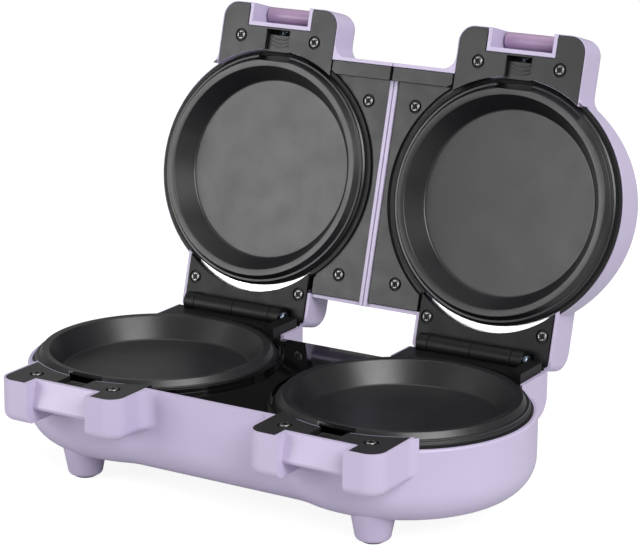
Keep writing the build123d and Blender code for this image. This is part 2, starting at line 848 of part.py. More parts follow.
def hinge_base(side):
    """The black hinge block in the base, with two knuckles and solid cheeks."""
    centre = side * half_spacing
    back = base_housing_back_y - base_wall - hinge_fit
    sheet = hinge_patch(side, back, base_wall + hinge_fit)
    head_x = centre + hinge_knuckle_edges[4]
    head_end = head_x + hinge_head_height + hinge_end_gap
    block = slab(sheet, -plinth_under, plinth_top)
    block += slab(sheet, -plinth_under, cheek_top) & box(head_end, wide, -wide, wide, -tall, tall)
    for index in (0, 3):
        x0, x1 = hinge_span(index, side)
        block -= hinge_room(x0 - hinge_end_gap, x1 + hinge_end_gap)
    block -= hinge_room(head_x, head_end)
    for index in (1, 2):
        x0, x1 = hinge_span(index, side)
        block += bar(hinge_barrel_radius, x0, x1, hinge_y, hinge_z)
    first = centre + hinge_knuckle_edges[0]
    block -= bar(hinge_pin_radius + hinge_press_clearance, first, head_x, hinge_y, hinge_z)
    for sign in (-1, 1):
        block -= screw_hole(centre + sign * plinth_screw_x, plinth_screw_y, plinth_screw_face, into=1)
    return block


def hinge_pin(side):
    """The plated pin with a round head at its right end."""
    centre = side * half_spacing
    x0, x1 = centre + hinge_knuckle_edges[0] + hinge_pin_end_gap, centre + hinge_knuckle_edges[4]
    pin = bar(hinge_pin_radius, x0, x1, hinge_y, hinge_z)
    head = bar(hinge_head_radius, x1, x1 + hinge_head_height, hinge_y, hinge_z)
    head = fillet(head.edges().group_by(Axis.X)[-1], hinge_head_round)
    return pin + head


# ---------------------------------------------------------------- lids (closed)
def crowned(sketch, depth, edge_round):
    """A sketch raised to the lids' crowned top, this far under its outside."""
    axis_z = lid_crown_height - lid_crown_radius
    crown = bar(lid_crown_radius - depth, -wide, wide, lid_crown_y, axis_z)
    body = slab(sketch, rim_drop, tall) & crown
    top_edges = [e for e in body.edges() if e.center().Z > rim_drop + edge_round and not is_upright(e)]
    return fillet(top_edges, edge_round)


def is_upright(edge):
    """Whether an edge runs straight up."""
    across = edge.position_at(1) - edge.position_at(0)
    return math.hypot(across.X, across.Y) < 0.01


def lid_block(side):
    """A lid's latch block as a plain solid, run out of the round end."""
    front = lid_block_front_y
    whole = slab(with_lug(lid_outline(side), side, block_half_width, -front, block_blend, block_corner),
                 face_gap, block_height)
    whole = fillet(whole.edges().group_by(Axis.Z)[-1], lid_round)
    centre = side * half_spacing
    half = block_half_width
    keep = box(centre - half, centre + half, -front, -lid_block_start_y, -tall, tall)
    return whole - (slab(lid_outline(side), -tall, tall) - keep)


def lid_housing(side):
    """A lid's hinge housing as a plain solid, rounded over at the back."""
    centre = side * half_spacing
    half = hinge_block_half_width
    block = box(centre - half, centre + half, lid_housing_start_y, lid_housing_back_y,
                lid_housing_drop, lid_housing_height)
    high_back = block.edges().filter_by(Axis.X).group_by(Axis.Z)[-1].sort_by(Axis.Y)[-1:]
    block = fillet(high_back, housing_round)
    sides_top = [e for e in block.edges() if e.center().Z > lid_housing_height - housing_round
                 and math.isclose(abs(e.center().X - centre), half, abs_tol=same) and not is_upright(e)]
    return fillet(sides_top, lid_housing_round)


def lid_hollow(side):
    """The space inside a lid's body and hinge housing."""
    centre = side * half_spacing
    half = hinge_block_half_width - lid_wall
    hollow = crowned(lid_outline(side, lid_wall), lid_wall, lid_round - lid_wall)
    hollow += slab(lid_outline(side, lid_wall), -beyond, rim_drop)
    back = lid_housing_back_y - lid_wall
    room = box(centre - half, centre + half, lid_housing_start_y, back, -beyond, lid_housing_height - lid_wall)
    high_back = room.edges().filter_by(Axis.X).group_by(Axis.Z)[-1].sort_by(Axis.Y)[-1:]
    room = fillet(high_back, housing_round - lid_wall)
    sides_top = [e for e in room.edges() if e.center().Z > lid_housing_height - housing_round
                 and math.isclose(abs(e.center().X - centre), half, abs_tol=same) and not is_upright(e)]
    return hollow + fillet(sides_top, lid_housing_round - lid_wall)


def lid_shell(side):
    """A lid's coloured outer shell, with the notch that holds the latch."""
    centre = side * half_spacing
    edge = side * lid_split / 2
    block_side = centre - side * block_half_width
    shell = crowned(lid_outline(side), 0, lid_round) + lid_block(side) + lid_housing(side)
    shell += box(edge, block_side, -lid_front_y, -lid_front_y + lid_wall, face_gap, rim_drop + lid_wall)
    shell += box(edge, edge + side * lid_wall, -lid_front_y, lid_back_y, mid_rib_z, rim_drop + lid_wall)
    shell -= lid_hollow(side)

    front = lid_block_front_y
    rebate = cover_patch(side, front, lid_cover_inset, rebate_gap)
    shell -= flipped(slab(rebate, -face_gap - cover_thickness, beyond))
    pockets = slab(block_patch(side, front, lobe_wall), -beyond, block_height - block_floor)
    inner = notch_half_width + lobe_wall
    pockets -= box(centre - inner, centre + inner, -front, 0, -tall, tall)
    shell -= pockets - slab(lid_outline(side), -tall, tall)
    shell -= box(centre - notch_half_width, centre + notch_half_width, -front - beyond, -notch_floor_y,
                 -tall, tall)
    for sign in (-1, 1):
        column, bore = boss(centre + sign * cover_screw_x, -cover_screw_y, face_gap + cover_thickness,
                            block_height - block_floor)
        shell = shell + column - bore
        column, bore = boss(centre + sign * bracket_screw_x, bracket_screw_y, bracket_z + bracket_thickness,
                            lid_housing_height - lid_wall / 2)
        shell = shell + (column & lid_housing(side)) - bore
    for x, y in (frame_screw_front, frame_screw_back):
        column, bore = boss(side * x, y, frame_recess + frame_thickness + frame_step_thickness, lid_crown_height)
        shell = shell + (column & crowned(lid_outline(side), lid_wall / 2, lid_round)) - bore
    shell += ring(well_radius + ledge_root, well_radius - ledge_width, reflector_flange_z,
                  reflector_flange_z + ledge_thickness, centre)
    shell -= post(well_radius, -beyond, reflector_flange_z, centre) + flipped(release_pocket(side))
    grip = notch_half_width + latch_pin_grip
    pin_bore = latch_pin_radius + hinge_press_clearance
    shell -= bar(pin_bore, centre - grip, centre + grip, -latch_axis_y, latch_axis_z)
    for place in light_places(side):
        shell -= place * post(light_radius + screw_clearance, -light_stem_depth - beyond, beyond)
    return shell


def light_places(side):
    """Where the two lenses sit on a lid's crown, each with its tilt."""
    axis_z = lid_crown_height - lid_crown_radius
    centre = side * half_spacing
    return [Pos(centre + sign * light_offset_x, lid_crown_y, axis_z) * Rot(X=light_angle)
            * Pos(0, 0, lid_crown_radius) for sign in (-1, 1)]


def light(side, index):
    """A small domed lens pressed into the lid's top."""
    stem = post(light_radius, -light_stem_depth, 0)
    flange = post(light_flange_radius, 0, light_flange_height)
    lens = stem + fillet(flange.edges().group_by(Axis.Z)[-1], light_flange_round)
    return light_places(side)[index] * lens


def lid_frame(side):
    """The black inner frame between a lid's plate and the middle."""
    centre = side * half_spacing
    end = centre - side * frame_end_inset
    keep = patch(0, end, -wide, wide)
    region = (lid_outline(side, lid_wall + deck_gap) & keep)
    step_top = frame_recess + frame_thickness
    well = Pos(centre, 0) * Circle(well_radius + ledge_root + deck_gap)
    frame = slab(region - well, step_top, step_top + frame_step_thickness)
    arc = Pos(centre, 0) * Circle(well_radius + frame_arc_inset)
    frame += slab(region - arc, frame_recess, step_top)
    front = -lid_front_y + lid_wall + deck_gap
    bar_back = -lid_front_y + frame_bar_width
    frame += slab((region - arc) & patch(-wide, wide, front, bar_back), face_gap, step_top)
    frame += box(side * frame_bar_gap, side * (lid_split / 2 + lid_wall + 2 * deck_gap), front, bar_back,
                 face_gap, mid_rib_z - deck_gap)
    half = hinge_block_half_width + deck_gap
    frame -= box(centre - half, centre + half, lid_back_y / 2, wide, -tall, tall)
    frame -= slab(block_patch(side, lid_block_front_y, -deck_gap, -deck_gap), -tall, tall)
    for x, y in (frame_screw_front, frame_screw_back):
        frame -= screw_hole(side * x, y, frame_recess, into=1)
    return frame


def hinge_bracket(side):
    """The black plate that carries a lid's two outer hinge knuckles."""
    centre = side * half_spacing
    top = bracket_z + bracket_thickness
    back = lid_housing_back_y - lid_wall - hinge_fit
    inset = lid_wall + hinge_fit
    bracket = slab(hinge_patch(side, back, inset, lid_housing_round - lid_wall), bracket_z, top)
    lip = hinge_block_half_width - lid_housing_round - hinge_fit
    bracket += box(centre - lip, centre + lip, back - bracket_thickness, lid_housing_back_y,
                   bracket_z, lid_housing_drop)
    for index in (0, 3):
        x0, x1 = hinge_span(index, side)
        bracket += bar(hinge_barrel_radius, x0, x1, hinge_y, hinge_z)
        bracket += box(x0, x1, hinge_y - hinge_barrel_radius, back, hinge_z, top)
    for index in (1, 2):
        x0, x1 = hinge_span(index, side)
        bracket -= hinge_room(x0 - hinge_end_gap, x1 + hinge_end_gap)
    first, head_x = centre + hinge_knuckle_edges[0], centre + hinge_knuckle_edges[4]
    bracket -= hinge_room(head_x - hinge_end_gap / 2, head_x + hinge_head_height + hinge_end_gap)
    bracket -= bar(hinge_pin_radius + hinge_running_clearance, first, head_x, hinge_y, hinge_z)
    for sign in (-1, 1):
        bracket -= screw_hole(centre + sign * bracket_screw_x, bracket_screw_y, bracket_z, into=1)
    return bracket


def latch_pin(side):
    """The steel pin that the latch turns on."""
    centre = side * half_spacing
    reach = notch_half_width + latch_pin_grip - latch_pin_end_gap
    return bar(latch_pin_radius, centre - reach, centre + reach, -latch_axis_y, latch_axis_z)


def latch(side):
    """The latch lever, drawn hooked under the base's catch."""
    centre = side * half_spacing
    reach = notch_half_width - latch_barrel_clearance
    half = latch_arm_half_width
    inner, outer = -latch_arm_inner_y, -latch_arm_inner_y - latch_arm_thickness
    hook_top = -catch_under_z - latch_hook_gap
    hook_under = hook_top - latch_hook_height
    tip = hook_under - latch_thumb_length
    points = [
        (inner, latch_axis_z),
        (inner, hook_top),
        (inner + latch_hook_reach, hook_top),
        (inner + latch_hook_reach, hook_top - latch_hook_nose),
        (inner + latch_hook_root, hook_under),
        (inner - latch_thumb_reach + latch_hook_root, tip),
        (outer - latch_thumb_reach, tip),
        (outer, hook_under + latch_hook_root),
        (outer, latch_axis_z),
    ]
    arm = profile_along_x(points, centre - half, centre + half)
    barrel = bar(latch_barrel_radius, centre - reach, centre + reach, -latch_axis_y, latch_axis_z)
    bore = bar(latch_pin_radius + latch_bore_clearance, centre - 2 * reach, centre + 2 * reach,
               -latch_axis_y, latch_axis_z)
    return arm + barrel - bore


def lid_screws(side):
    """All the screws that show inside a lid."""
    centre = side * half_spacing
    places = [(centre + sign * cover_screw_x, -cover_screw_y, face_gap) for sign in (-1, 1)]
    places += [(centre + sign * bracket_screw_x, bracket_screw_y, bracket_z) for sign in (-1, 1)]
    places += [(side * x, y, frame_recess) for x, y in (frame_screw_front, frame_screw_back)]
    return [screw(x, y, z, into=1) for x, y, z in places]


def base_screws():
    """The screws in the base's covers, and those up into its hinge blocks."""
    group = []
    for side in sides.values():
        centre = side * half_spacing
        for sign in (-1, 1):
            group.append(screw(centre + sign * cover_screw_x, -cover_screw_y, -face_gap))
            group.append(screw(centre + sign * plinth_screw_x, plinth_screw_y, plinth_screw_face, into=1))
    return group


# ---------------------------------------------------------------- inlet and wiring
def cord_bush():
    """The rubber bush in the cord inlet, with an open bore."""
    length = bush_flange_thickness + base_wall + bush_inner_length
    lying = Pos(0, base_back_y + bush_flange_thickness, -inlet_z) * Rot(X=90)
    bush = lying * Cylinder(bush_radius, length, align=low)
    bush += lying * Cylinder(bush_flange_radius, bush_flange_thickness, align=low)
    inner_flange = Pos(0, base_back_y - base_wall - bush_clearance, -inlet_z) * Rot(X=90)
    bush += inner_flange * Cylinder(bush_radius + bush_inner_step, bush_inner_length / 2, align=low)
    return bush - lying * Cylinder(inlet_bore_radius, 2 * (length + beyond))


def terminal_block():
    """The screw terminal block on the base's floor."""
    floor = -base_depth + base_wall
    half = terminal_width / 2
    y0, y1 = terminal_y - terminal_depth / 2, terminal_y + terminal_depth / 2
    block = box(-half, half, y0, y1, floor, floor + terminal_height)
    pitch = terminal_width / terminal_ways
    sill = floor + terminal_sill
    for index in range(terminal_ways):
        x = -half + pitch * (index + 0.5)
        block -= box(x - terminal_slot / 2, x + terminal_slot / 2, y0 - beyond, y1 + beyond, sill,
                     sill + terminal_slot)
        block -= post(terminal_screw_radius, sill + terminal_slot - terminal_screw_bite,
                      floor + terminal_height + beyond, x, terminal_y)
    return block


def wires():
    """The leads from the terminal block to the lower heaters' cold ends."""
    floor = -base_depth + base_wall + terminal_sill + terminal_slot / 2
    pitch = terminal_width / terminal_ways
    start_y = terminal_y - terminal_depth / 2 - wire_gap
    top = heater_z() - heater_pin_radius - wire_gap
    runs = []
    for side in sides.values():
        riser = side * (half_spacing - heater_leg_end - heater_pin_length / 2)
        for order, y in enumerate(heater_leg_lines()):
            slot = side * pitch * (0.5 + order)
            path = FilletPolyline((slot, start_y, floor), (riser, y, floor), (riser, y, top), radius=wire_bend)
            section = Plane(origin=path @ 0, z_dir=path % 0) * Circle(wire_radius)
            runs.append(sweep(section, path=path))
    return runs


# ---------------------------------------------------------------- assembly
def in_base():
    """Every piece that belongs to the base, by node name."""
    pieces = {
        "base_shell": base_shell(),
        "base_rim": base_rim(),
        "feet": feet(),
        "foot_pads": foot_pads(),
        "base_deck": base_deck(),
        "base_screws": base_screws(),
        "cord_bush": cord_bush(),
        "terminal_block": terminal_block(),
        "base_wiring": wires(),
    }
    for name, side in sides.items():
        pieces[f"{name}_latch_block"] = latch_block(side)
        pieces[f"{name}_hinge_housing"] = hinge_housing(side)
        pieces[f"{name}_base_latch_cover"] = latch_cover(side, block_front_y, base_cover_inset)
        pieces[f"{name}_hinge_base"] = hinge_base(side)
        pieces[f"{name}_hinge_pin"] = hinge_pin(side)
        pieces[f"{name}_lower_reflector"] = reflector(side)
        pieces[f"{name}_lower_heater"] = heater(side)
        pieces[f"{name}_lower_thermostat"] = thermostat(side)
        pieces[f"{name}_lower_plate"] = plate(side)
        pieces[f"{name}_lower_release"] = release(side)
        pieces[f"{name}_lower_release_spring"] = release_spring(side)
    return pieces


def in_lids():
    """Every piece that swings with a lid, closed, by node name."""
    pieces = {}
    for name, side in sides.items():
        pieces[f"{name}_lid_shell"] = lid_shell(side)
        pieces[f"{name}_lid_frame"] = lid_frame(side)
        pieces[f"{name}_lid_latch_cover"] = flipped(latch_cover(side, lid_block_front_y, lid_cover_inset))
        pieces[f"{name}_lid_hinge_bracket"] = hinge_bracket(side)
        pieces[f"{name}_lid_screws"] = lid_screws(side)
        pieces[f"{name}_upper_reflector"] = flipped(reflector(side))
        pieces[f"{name}_upper_heater"] = flipped(heater(side))
        pieces[f"{name}_power_light"] = light(side, 0)
        pieces[f"{name}_ready_light"] = light(side, 1)
        pieces[f"{name}_latch_pin"] = latch_pin(side)
        to_axis = Pos(0, -latch_axis_y, latch_axis_z)
        folded = to_axis * Rot(X=-latch_fold_angle) * Pos(0, latch_axis_y, -latch_axis_z)
        pieces[f"{name}_latch"] = folded * latch(side)
        pieces[f"{name}_upper_plate"] = flipped(plate(side))
        pieces[f"{name}_upper_release"] = flipped(release(side))
        pieces[f"{name}_upper_release_spring"] = flipped(release_spring(side))
    return pieces


def as_group(piece):
    """One shape or a list of shapes, as a single compound."""
    solids = []
    for item in piece if isinstance(piece, list) else [piece]:
        solids += item.solids()
    return Compound(children=solids) if len(solids) > 1 else solids[0]


opened = Pos(0, hinge_y, hinge_z) * Rot(X=-lid_open_angle) * Pos(0, -hinge_y, -hinge_z)
nodes = {name: as_group(piece) for name, piece in in_base().items()}
nodes.update({name: opened * as_group(piece) for name, piece in in_lids().items()})

boxes = [piece.bounding_box() for piece in nodes.values()]
middle_y = (min(b.min.Y for b in boxes) + max(b.max.Y for b in boxes)) / 2
to_table = Pos(0, -middle_y, table_z)

os.makedirs("parts", exist_ok=True)
for name, piece in nodes.items():
    export_step(to_table * piece, f"parts/{name}.step")
print("middle_y", round(middle_y, 3))
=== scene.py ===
"""The finishes, fine shapes, light and view of a twin round-plate sandwich maker."""

import logging
import math
from dataclasses import dataclass, field
from enum import Enum

import bmesh
import bpy
from mathutils import Matrix, Vector


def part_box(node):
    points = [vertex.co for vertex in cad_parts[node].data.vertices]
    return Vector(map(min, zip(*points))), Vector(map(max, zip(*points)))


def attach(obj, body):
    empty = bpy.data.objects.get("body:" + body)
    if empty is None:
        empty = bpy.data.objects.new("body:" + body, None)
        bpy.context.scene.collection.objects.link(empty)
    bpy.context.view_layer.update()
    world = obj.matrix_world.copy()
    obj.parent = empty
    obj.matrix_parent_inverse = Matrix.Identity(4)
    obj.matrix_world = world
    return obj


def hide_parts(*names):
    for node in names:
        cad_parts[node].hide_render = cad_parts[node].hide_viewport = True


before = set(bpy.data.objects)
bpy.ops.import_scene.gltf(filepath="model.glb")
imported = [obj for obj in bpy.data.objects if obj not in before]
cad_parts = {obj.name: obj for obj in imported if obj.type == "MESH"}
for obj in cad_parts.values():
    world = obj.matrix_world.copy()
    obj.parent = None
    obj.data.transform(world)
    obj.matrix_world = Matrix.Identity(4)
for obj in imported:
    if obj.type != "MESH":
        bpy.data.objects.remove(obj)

log = logging.getLogger("sandwich_maker")

MM = 0.001
WELD = 1e-4             # points nearer than this are merged, in the mesh's own unit
ROUND_SHARE = 0.49      # the most of a side that one rounded corner takes
SIDES = {"left": -1, "right": 1}
Colour = tuple[float, float, float]
Point = tuple[float, float]


def srgb(red: int, green: int, blue: int) -> Colour:
    """Turns a colour as a screen shows it into the linear one that shaders take.

    Args:
        red: Red, 0 to 255.
        green: Green, 0 to 255.
        blue: Blue, 0 to 255.

    Returns:
        The linear colour.
    """
    def linear(value: float) -> float:
        """One channel, made linear."""
        share = value / 255
        return share / 12.92 if share <= 0.04045 else ((share + 0.055) / 1.055) ** 2.4

    return linear(red), linear(green), linear(blue)


# ---------------------------------------------------------------- where things are
class Level(Enum):
    """The two halves that close on each other."""

    LOWER = "lower"
    UPPER = "upper"


@dataclass(frozen=True)
class Layout:
    """Turns sizes of the closed maker, in mm, into places in the open model."""

    hinge_y: float = 88.0
    open_angle: float = 105.0
    half_spacing: float = 82.25

    def pin_centre(self) -> Vector:
        """The middle of the left hinge pin.

        Returns:
            The point, in metres.
        """
        low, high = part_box("left_hinge_pin")
        return (low + high) / 2

    def base(self) -> Matrix:
        """The way from closed millimetres to the open model, for the base.

        Returns:
            The matrix.
        """
        centre = self.pin_centre()
        shift = Matrix.Translation((0, centre.y - self.hinge_y * MM, centre.z))
        return shift @ Matrix.Scale(MM, 4)

    def lid(self) -> Matrix:
        """The same for what swings with a lid.

        Returns:
            The matrix.
        """
        axis = Matrix.Translation((0, self.hinge_y, 0))
        swing = Matrix.Rotation(math.radians(-self.open_angle), 4, "X")
        return self.base() @ axis @ swing @ axis.inverted()

    def seat(self, side: int, level: Level) -> Matrix:
        """The matrix of one well, from a piece drawn about the plate's centre.

        Args:
            side: -1 for left and 1 for right.
            level: The base's well or the lid's.

        Returns:
            The matrix. An upper piece is turned over by mirroring.
        """
        across = Matrix.Translation((side * self.half_spacing, 0, 0))
        if level is Level.LOWER:
            return self.base() @ across
        return self.lid() @ across @ Matrix.Scale(-1, 4, (0, 0, 1))


LAYOUT = Layout()


# ---------------------------------------------------------------- materials
class Tree:
    """A short way to write a material's nodes."""

    stops: Point = (0.32, 0.68)
    samples: int = 6

    def __init__(self, name: str) -> None:
        """Starts an empty material with a principled shader.

        Args:
            name: The material's name.
        """
        self.material = bpy.data.materials.new(name)
        self.material.use_nodes = True
        self.nodes = self.material.node_tree.nodes
        self.links = self.material.node_tree.links
        self.shader = self.nodes["Principled BSDF"]
        self.place = self.nodes.new("ShaderNodeTexCoord").outputs["Object"]

    def add(self, kind: str, **settings: object) -> bpy.types.Node:
        """Adds a node.

        Args:
            kind: The node's type, without its ShaderNode prefix.
            **settings: Properties by name, and inputs written as in_Name with _ for a space.

        Returns:
            The node.
        """
        node = self.nodes.new("ShaderNode" + kind)
        for key, value in settings.items():
            if not key.startswith("in_"):
                setattr(node, key, value)
                continue
            plug = node.inputs[key[3:].replace("_", " ")]
            if isinstance(value, bpy.types.NodeSocket):
                self.links.new(value, plug)
            else:
                plug.default_value = value
        return node

    def noise(self, scale: float, detail: float = 2.0, stretch: Colour = (1, 1, 1)) -> bpy.types.NodeSocket:
        """A noise over the piece.

        Args:
            scale: Cells per metre.
            detail: Octaves.
            stretch: How much the pattern is squeezed along each axis.

        Returns:
            The noise's value.
        """
        place = self.place
        if stretch != (1, 1, 1):
            place = self.add("Mapping", in_Vector=place, in_Scale=stretch).outputs["Vector"]
        texture = self.add("TexNoise", in_Vector=place, in_Scale=scale, in_Detail=detail)
        return texture.outputs["Fac"]

    def spread(self, value: bpy.types.NodeSocket, low: float, high: float,
               start: float = 0.3, end: float = 0.7) -> bpy.types.NodeSocket:
        """Maps a noise to a range of numbers.

        Args:
            value: The noise.
            low: What start gives.
            high: What end gives.
            start: The noise's lower end.
            end: The noise's upper end.

        Returns:
            The mapped value.
        """
        mapped = self.add("MapRange", in_Value=value, in_From_Min=start, in_From_Max=end,
                          in_To_Min=low, in_To_Max=high)
        return mapped.outputs["Result"]

    def shade(self, value: bpy.types.NodeSocket, dark: Colour, pale: Colour) -> bpy.types.NodeSocket:
        """Mixes two colours by a noise.

        Args:
            value: The noise.
            dark: The colour at its low end.
            pale: The colour at its high end.

        Returns:
            The mixed colour.
        """
        ramp = self.add("ValToRGB", in_Fac=value)
        for stop, position, colour in zip(ramp.color_ramp.elements, self.stops, (dark, pale)):
            stop.position = position
            stop.color = (*colour, 1)
        return ramp.outputs["Color"]

    def shadowed(self, colour: bpy.types.NodeSocket, reach: float) -> bpy.types.NodeSocket:
        """Paints shade into a colour, darkening it in narrow gaps and recesses.

        Args:
            colour: The colour in the open.
            reach: How far off a surface counts as near, in metres.

        Returns:
            The colour with painted shade in its gaps and recesses.
        """
        # painted shade: ambient occlusion darkens the colour near other surfaces
        shade = self.add("AmbientOcclusion", samples=self.samples, in_Color=colour, in_Distance=reach)
        return shade.outputs["Color"]

    def bump(self, height: bpy.types.NodeSocket, depth: float, edge: float = 0.0) -> None:
        """Gives the shader a fine relief and softened edges.

        Args:
            height: The relief, 0 to 1.
            depth: Its depth in metres.
            edge: The radius that edges are softened by, in metres.
        """
        node = self.add("Bump", in_Height=height, in_Distance=depth, in_Strength=1.0)
        if edge:
            soft = self.add("Bevel", samples=self.samples, in_Radius=edge)
            self.links.new(soft.outputs["Normal"], node.inputs["Normal"])
        self.links.new(node.outputs["Normal"], self.shader.inputs["Normal"])

    def set(self, **inputs: object) -> None:
        """Sets or links inputs of the shader.

        Args:
            **inputs: The inputs by name, written with _ for a space.
        """
        for key, value in inputs.items():
            plug = self.shader.inputs[key.replace("_", " ")]
            if isinstance(value, bpy.types.NodeSocket):
                self.links.new(value, plug)
            elif isinstance(value, tuple) and len(value) == 3:
                plug.default_value = (*value, 1)
            else:
                plug.default_value = value


@dataclass(frozen=True)
class Plastic:
    """Moulded plastic, from satin to textured, with painted shade in its recesses where that is asked for.
    Grain is in cells per mm, lengths are in mm.
    """

    name: str
    dark: Colour
    pale: Colour
    gloss: Point
    grain: float
    grain_depth: float
    edge: float = 0.35
    specular: float = 0.5
    # painted shade: how far the darkening in gaps and recesses reaches, in mm, 0 for none
    painted_shade_reach: float = 0.0
    drift_scale: float = 14
    wear_scale: float = 90
    wear_detail: float = 3

    def material(self) -> bpy.types.Material:
        """The finish as a material.

        Returns:
            The material.
        """
        tree = Tree(self.name)
        colour = tree.shade(tree.noise(self.drift_scale), self.dark, self.pale)
        # painted shade in gaps and recesses, darkening the plastic's colour
        if self.painted_shade_reach:
            colour = tree.shadowed(colour, self.painted_shade_reach * MM)
        tree.set(
            Base_Color=colour,
            Roughness=tree.spread(tree.noise(self.wear_scale, self.wear_detail), *self.gloss),
            Specular_IOR_Level=self.specular,
        )
        tree.bump(tree.noise(self.grain / MM), self.grain_depth * MM, self.edge * MM)
        return tree.material


@dataclass(frozen=True)
class NonStick:
    """A dark speckled coating on the pans."""

    name: str
    dark: Colour = srgb(12, 12, 14)
    pale: Colour = srgb(26, 26, 29)
    fleck: Colour = srgb(66, 66, 70)
    gloss: Point = (0.31, 0.37)
    specular: float = 0.6
    speckle_scale: float = 3200
    fleck_scale: float = 5200
    fleck_range: Point = (0.66, 0.74)
    wear_scale: float = 60
    relief_scale: float = 2600
    relief_depth: float = 0.02

    def material(self) -> bpy.types.Material:
        """The finish as a material.

        Returns:
            The material.
        """
        tree = Tree(self.name)
        base = tree.shade(tree.noise(self.speckle_scale), self.dark, self.pale)
        flecks = tree.spread(tree.noise(self.fleck_scale, 1), 0, 1, *self.fleck_range)
        mixed = tree.add("Mix", data_type="RGBA", in_Factor=flecks)
        # a colour mix takes its two colours at sockets 6 and 7 and gives the result at 2
        tree.links.new(base, mixed.inputs[6])
        mixed.inputs[7].default_value = (*self.fleck, 1)
        tree.set(
            Base_Color=mixed.outputs[2],
            Roughness=tree.spread(tree.noise(self.wear_scale, 3), *self.gloss),
            Specular_IOR_Level=self.specular,
        )
        tree.bump(tree.noise(self.relief_scale, 3), self.relief_depth * MM)
        return tree.material


@dataclass(frozen=True)
class Metal:
    """Bare, plated or oxidised metal, with its rolling or drawing marks, and painted shade in its recesses
    where that is asked for.
    """

    name: str
    dark: Colour
    pale: Colour
    gloss: Point
    stretch: Colour = (1, 1, 1)
    grain: float = 900.0
    grain_depth: float = 0.01
    edge: float = 0.0
    # painted shade: how far the darkening in gaps and recesses reaches, in mm, 0 for none
    painted_shade_reach: float = 0.0
    wear_scale: float = 140

    def material(self) -> bpy.types.Material:
        """The finish as a material.

        Returns:
            The material.
        """
        tree = Tree(self.name)
        marks = tree.noise(self.grain, 4, self.stretch)
        colour = tree.shade(marks, self.dark, self.pale)
        # painted shade in gaps and recesses, darkening the metal's colour
        if self.painted_shade_reach:
            colour = tree.shadowed(colour, self.painted_shade_reach * MM)
        tree.set(
            Base_Color=colour,
            Metallic=1.0,
            Roughness=tree.spread(tree.noise(self.wear_scale, 3), *self.gloss),
        )
        tree.bump(marks, self.grain_depth * MM, self.edge * MM)
        return tree.material


@dataclass(frozen=True)
class Lens:
    """Clear coloured plastic over a lamp."""

    name: str
    colour: Colour
    roughness: float = 0.12
    clearness: float = 0.55
    index: float = 1.49
    relief_scale: float = 700
    relief_depth: float = 0.03

    def material(self) -> bpy.types.Material:
        """The finish as a material.

        Returns:
            The material.
        """
        tree = Tree(self.name)
        tree.set(Base_Color=self.colour, Roughness=self.roughness, Transmission_Weight=self.clearness,
                 IOR=self.index)
        tree.bump(tree.noise(self.relief_scale, 1), self.relief_depth * MM)
        return tree.material


class Finish(Enum):
    """Every finish on the maker."""

    LILAC = Plastic("lilac_shell_plastic", srgb(181, 171, 199), srgb(187, 177, 204), (0.3, 0.38),
                    grain=1.6, grain_depth=0.012, edge=0.5)
    TUB = Plastic("lilac_tub_plastic", srgb(181, 171, 199), srgb(187, 177, 204), (0.3, 0.38),
                  grain=1.6, grain_depth=0.012, edge=0.0)
    MAUVE = Plastic("mauve_latch_plastic", srgb(150, 126, 155), srgb(160, 135, 164), (0.28, 0.36),
                    grain=1.6, grain_depth=0.01, edge=0.5)
    # the textured black and the hinge black have painted shade darkening their gaps and recesses
    BLACK = Plastic("black_textured_plastic", srgb(20, 20, 22), srgb(26, 26, 28), (0.36, 0.44),
                    grain=2.2, grain_depth=0.03, edge=0.3, specular=0.6, painted_shade_reach=1.2)
    HINGE = Plastic("black_hinge_plastic", srgb(11, 11, 12), srgb(17, 17, 18), (0.42, 0.5),
                    grain=2.0, grain_depth=0.02, edge=0.3, specular=0.28, painted_shade_reach=1.2)
    DECK = Plastic("gloss_black_plastic", srgb(5, 5, 6), srgb(7, 7, 8), (0.05, 0.09),
                   grain=0.3, grain_depth=0.004, edge=0.3, specular=0.4)
    RUBBER = Plastic("black_rubber", srgb(20, 20, 21), srgb(28, 28, 29), (0.7, 0.82),
                     grain=1.2, grain_depth=0.04, edge=0.3, specular=0.3)
    CERAMIC = Plastic("white_ceramic", srgb(214, 209, 198), srgb(226, 222, 212), (0.5, 0.6),
                      grain=1.5, grain_depth=0.02, edge=0.3)
    SLEEVE = Plastic("woven_glass_sleeve", srgb(168, 160, 146), srgb(205, 198, 184), (0.75, 0.85),
                     grain=2.4, grain_depth=0.12)
    PAN = NonStick("speckled_nonstick")
    ALUMINIUM = Metal("bright_aluminium", srgb(222, 224, 227), srgb(238, 239, 241), (0.3, 0.38),
                      stretch=(1, 3, 3), grain=500, grain_depth=0.004)
    SHEATH = Metal("oxidised_sheath", srgb(96, 84, 74), srgb(140, 130, 120), (0.38, 0.55), grain=500)
    ZINC = Metal("plated_steel", srgb(112, 124, 142), srgb(142, 152, 168), (0.18, 0.3),
                 grain=700, grain_depth=0.005, edge=0.15)
    # the screws have painted shade darkening their cross recesses and the gaps round their heads
    SCREW = Metal("blackened_steel", srgb(128, 128, 129), srgb(150, 150, 151), (0.34, 0.44),
                  grain=900, grain_depth=0.01, edge=0.15, painted_shade_reach=1.6)
    RED = Lens("red_lens", srgb(206, 48, 40))
    GREEN = Lens("green_lens", srgb(56, 158, 82))


class Paintbox:
    """Makes each finish's material once."""

    def __init__(self) -> None:
        """Starts with nothing made."""
        self.made: dict[Finish, bpy.types.Material] = {}

    def get(self, finish: Finish) -> bpy.types.Material:
        """The material of a finish.

        Args:
            finish: The finish.

        Returns:
            Its material, the same one each time.
        """
        if finish not in self.made:
            self.made[finish] = finish.value.material()
        return self.made[finish]

    def dress(self, piece: bpy.types.Object, finish: Finish) -> None:
        """Gives a piece one finish all over.

        Args:
            piece: The object.
            finish: Its finish.
        """
        piece.data.materials.clear()
        piece.data.materials.append(self.get(finish))


PAINT = Paintbox()


